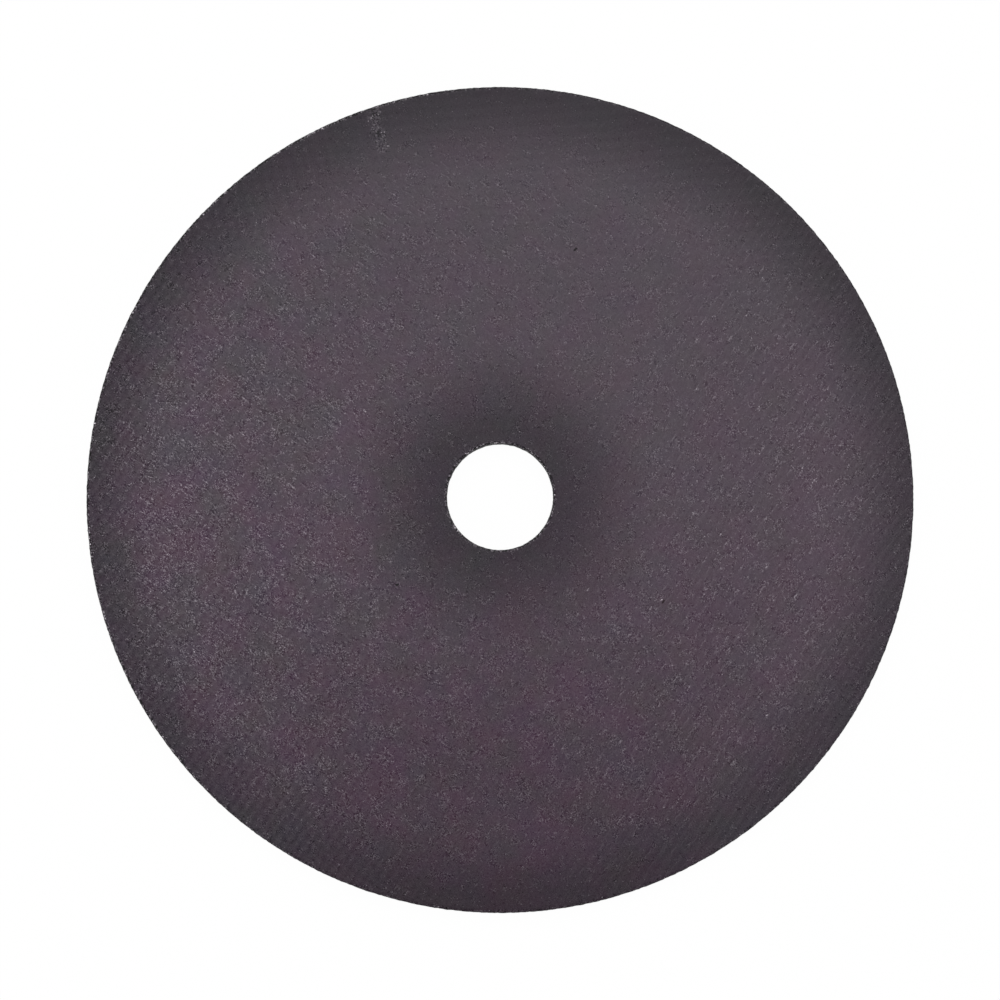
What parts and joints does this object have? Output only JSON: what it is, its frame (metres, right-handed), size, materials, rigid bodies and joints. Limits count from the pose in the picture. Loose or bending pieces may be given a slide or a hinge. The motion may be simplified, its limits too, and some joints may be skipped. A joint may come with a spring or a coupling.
{
  "type": "cut off wheel",
  "caption": "Thin flat resin-bonded abrasive cut-off wheel with plane cloth-pressed faces, a gritty rim and a plain round arbor hole, for a small hand-held grinder.",
  "frame": {"origin": "centre of the arbor hole on the rear face, which the wheel lies on", "axes": "+Z along the wheel's axis, out of the front face; X and Y in the plane of the faces, with +Y up in the picture"},
  "size_m": [0.075, 0.075, 0.0016],
  "materials": {
    "abrasive": "matte dark purple-grey bonded abrasive with a fine woven imprint"
  },
  "bodies": {
    "root": {"wheel": "abrasive"}
  },
  "joints": []
}
